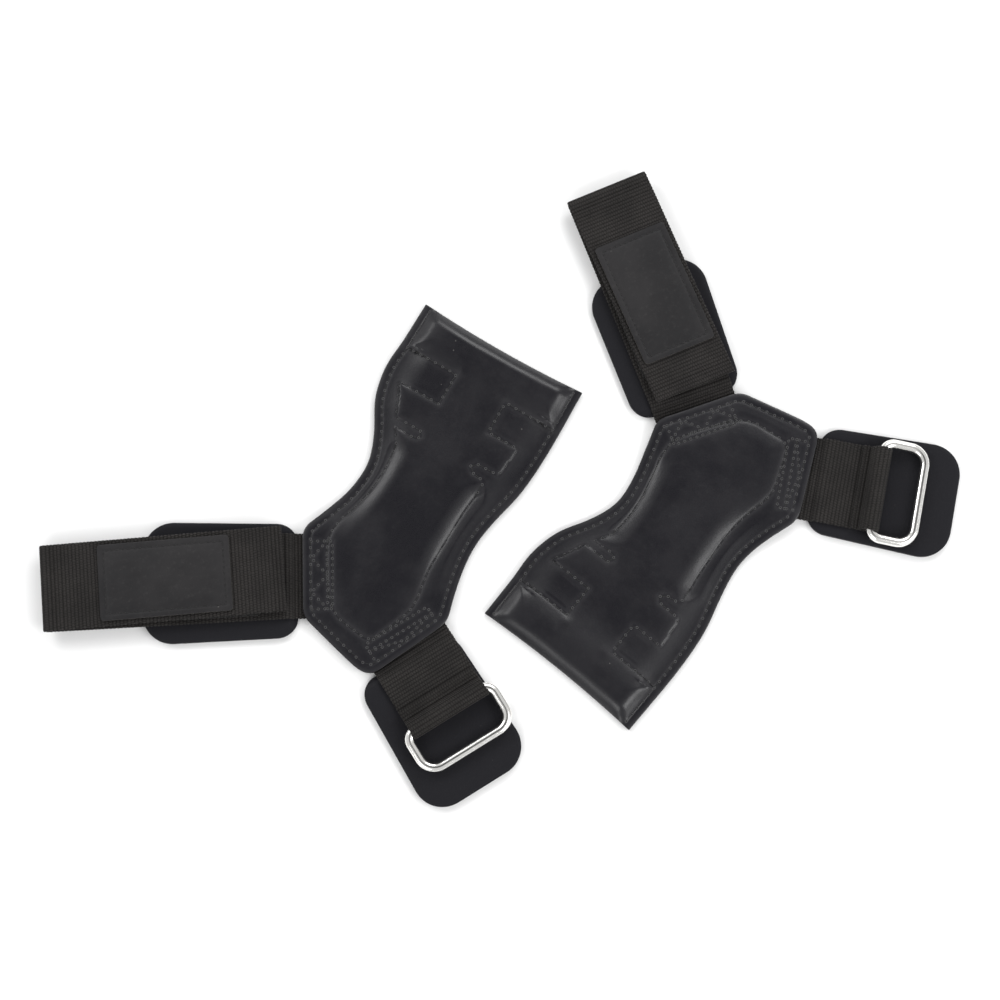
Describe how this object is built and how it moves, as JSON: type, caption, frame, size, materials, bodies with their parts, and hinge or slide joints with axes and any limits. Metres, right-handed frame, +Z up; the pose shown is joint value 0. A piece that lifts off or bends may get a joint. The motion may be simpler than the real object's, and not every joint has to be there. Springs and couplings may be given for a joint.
{
  "type": "pair of hand grips",
  "caption": "Pair of mirrored leather palm grips with a padded fold-over flap, and two webbing wrist straps on soft pads, one with a steel ring and one with hook-and-loop.",
  "frame": {"origin": "centre of the bounding box of the pair, on the surface that both grips lie on", "axes": "+X across the pair, from the left grip's long strap to the right grip's ring; +Y away from the viewer; +Z up from the surface"},
  "size_m": [0.5266, 0.3694, 0.0149],
  "materials": {
    "palm_leather": "smooth waxed black leather with a soft satin sheen",
    "lining_leather": "matte black lining leather",
    "patch_leather": "smooth dark grey-black leather with raw cut edges",
    "foam": "matte closed-cell foam",
    "webbing": "ribbed black webbing, slightly brown",
    "neoprene": "matte black neoprene faced with knitted fabric",
    "hook_and_loop": "matte black hook-and-loop tape",
    "steel": "polished steel wire"
  },
  "bodies": {
    "left_palm": {"left_palm_face": "palm_leather", "left_palm_lining": "lining_leather", "left_palm_foam": "foam", "left_strap_tail": "webbing", "left_ring_strap_tail": "webbing"},
    "left_flap": {"left_flap_face": "palm_leather", "left_flap_lining": "lining_leather", "left_flap_foam": "foam", "left_flap_end_roll": "foam"},
    "left_strap": {"left_strap_run": "webbing", "left_strap_pad": "neoprene", "left_loop_tape": "hook_and_loop"},
    "left_strap_end": {"left_strap_return": "webbing", "left_hook_tape": "hook_and_loop", "left_leather_patch": "patch_leather"},
    "left_ring_tab": {"left_ring_strap": "webbing", "left_ring_pad": "neoprene"},
    "left_ring": {"left_ring": "steel"},
    "right_palm": {"right_palm_face": "palm_leather", "right_palm_lining": "lining_leather", "right_palm_foam": "foam", "right_strap_tail": "webbing", "right_ring_strap_tail": "webbing"},
    "right_flap": {"right_flap_face": "palm_leather", "right_flap_lining": "lining_leather", "right_flap_foam": "foam", "right_flap_end_roll": "foam"},
    "right_strap": {"right_strap_run": "webbing", "right_strap_pad": "neoprene", "right_loop_tape": "hook_and_loop"},
    "right_strap_end": {"right_strap_return": "webbing", "right_hook_tape": "hook_and_loop", "right_leather_patch": "patch_leather"},
    "right_ring_tab": {"right_ring_strap": "webbing", "right_ring_pad": "neoprene"},
    "right_ring": {"right_ring": "steel"}
  },
  "joints": [
    {"name": "left_flap_fold", "type": "hinge", "parent": "left_palm", "child": "left_flap", "pos_m": [-0.03943, 0.00937, 0.0061], "axis": [0.8637, -0.5039, 0], "range_deg": [0, 120]},
    {"name": "left_strap_fold_up", "type": "hinge", "parent": "left_palm", "child": "left_strap", "pos_m": [-0.11767, -0.05298, 0.0039], "axis": [-0.0216, 0.9998, 0], "range_deg": [0, 90]},
    {"name": "left_strap_end_open", "type": "hinge", "parent": "left_strap", "child": "left_strap_end", "pos_m": [-0.26249, -0.06318, 0.00775], "axis": [0.0565, -0.9984, 0], "range_deg": [0, 175]},
    {"name": "left_ring_strap_fold_up", "type": "hinge", "parent": "left_palm", "child": "left_ring_tab", "pos_m": [-0.05021, -0.09986, 0.0039], "axis": [-0.8504, -0.5261, 0], "range_deg": [0, 90]},
    {"name": "left_ring_swing", "type": "hinge", "parent": "left_ring_tab", "child": "left_ring", "pos_m": [-0.03074, -0.13132, 0.0097], "axis": [-0.8504, -0.5261, 0], "range_deg": [0, 175]},
    {"name": "right_grip_lift", "type": "slide", "parent": "left_palm", "child": "right_palm", "axis": [0, 0, 1], "range_m": [0, 0.15]},
    {"name": "right_flap_fold", "type": "hinge", "parent": "right_palm", "child": "right_flap", "pos_m": [0.08125, -0.04743, 0.0061], "axis": [-0.7749, 0.632, 0], "range_deg": [0, 120]},
    {"name": "right_strap_fold_up", "type": "hinge", "parent": "right_palm", "child": "right_strap", "pos_m": [0.11219, 0.04772, 0.0039], "axis": [0.9438, 0.3305, 0], "range_deg": [0, 90]},
    {"name": "right_strap_end_open", "type": "hinge", "parent": "right_strap", "child": "right_strap_end", "pos_m": [0.06032, 0.17524, 0.00775], "axis": [-0.9317, -0.3633, 0], "range_deg": [0, 175]},
    {"name": "right_ring_strap_fold_up", "type": "hinge", "parent": "right_palm", "child": "right_ring_tab", "pos_m": [0.17975, 0.00099, 0.0039], "axis": [-0.1942, -0.981, 0], "range_deg": [0, 90]},
    {"name": "right_ring_swing", "type": "hinge", "parent": "right_ring_tab", "child": "right_ring", "pos_m": [0.21389, -0.00577, 0.0097], "axis": [-0.1942, -0.981, 0], "range_deg": [0, 175]}
  ]
}
